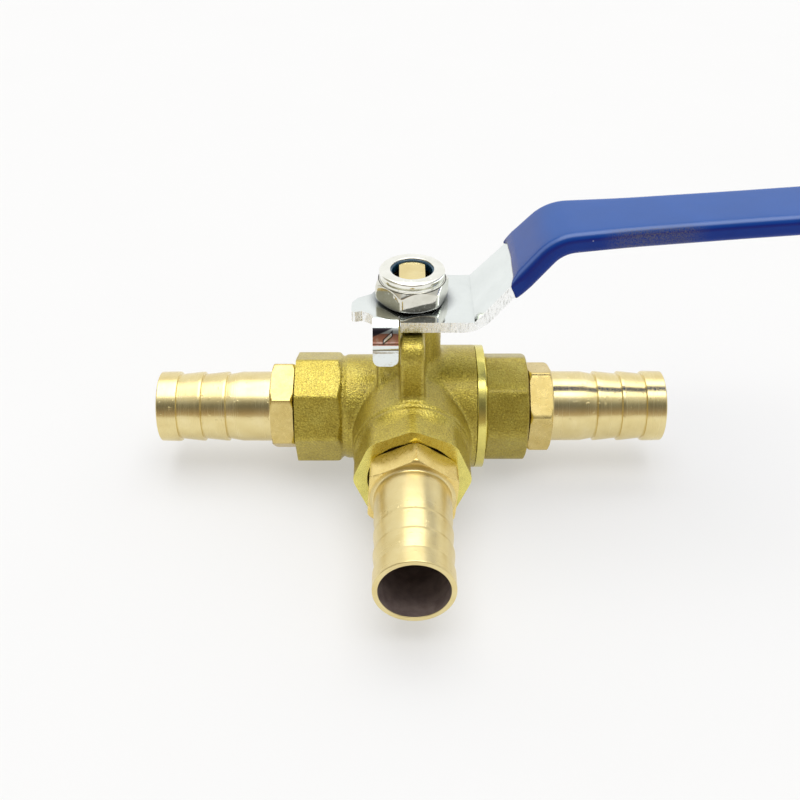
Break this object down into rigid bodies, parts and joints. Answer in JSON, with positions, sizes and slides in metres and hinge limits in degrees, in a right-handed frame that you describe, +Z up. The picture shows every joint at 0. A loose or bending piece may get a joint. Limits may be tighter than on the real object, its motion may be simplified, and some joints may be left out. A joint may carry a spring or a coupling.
{
  "type": "three way ball valve",
  "caption": "Three way brass ball valve with a hose barb in each port and a long lever handle that turns a T-bored ball.",
  "frame": {"origin": "centre of the small flat rest pad under the housing, on the stem's axis, 17.3 mm below the port axes", "axes": "+X along the straight run to the end cap, -Y out of the branch port, +Z up the stem"},
  "size_m": [0.1879, 0.0874, 0.081],
  "materials": {
    "forged_brass": "shot-blasted forging",
    "turned_brass": "satin turned",
    "stem_brass": "machined",
    "plated_ball": "polished plating",
    "chrome_plate": "bright plated sheet steel",
    "nickel_nut": "bright nickel plate",
    "blue_grip": "dip-moulded vinyl",
    "nylon": "moulded nylon",
    "ptfe": "machined PTFE",
    "black_rubber": "moulded rubber"
  },
  "bodies": {
    "housing": {"valve_body": "forged_brass", "end_cap": "forged_brass", "cap_gasket": "ptfe", "seat_left": "ptfe", "seat_right": "ptfe", "seat_branch": "ptfe", "seat_back": "ptfe", "seat_spring_ring_branch": "black_rubber", "seat_spring_ring_back": "black_rubber", "hose_barb_left": "turned_brass", "hose_barb_right": "turned_brass", "hose_barb_branch": "turned_brass"},
    "lever_and_stem": {"lever_plate": "chrome_plate", "lever_sleeve": "blue_grip", "lock_nut": "nickel_nut", "nut_insert": "nylon", "stem": "stem_brass", "stem_thrust_washer": "ptfe", "stem_o_ring_lower": "black_rubber", "stem_o_ring_upper": "black_rubber"},
    "ball": {"ball": "plated_ball"}
  },
  "joints": [
    {"name": "lever_turn", "type": "hinge", "parent": "housing", "child": "lever_and_stem", "pos_m": [0, 0, 0.0173], "axis": [0, 0, 1], "range_deg": [-180, 0]},
    {"name": "ball_turn", "type": "hinge", "parent": "housing", "child": "ball", "pos_m": [0, 0, 0.0173], "axis": [0, 0, 1], "range_deg": [-180, 0]}
  ],
  "couplings": [
    {"joint": "ball_turn", "follows": "lever_turn", "ratio": 1}
  ]
}
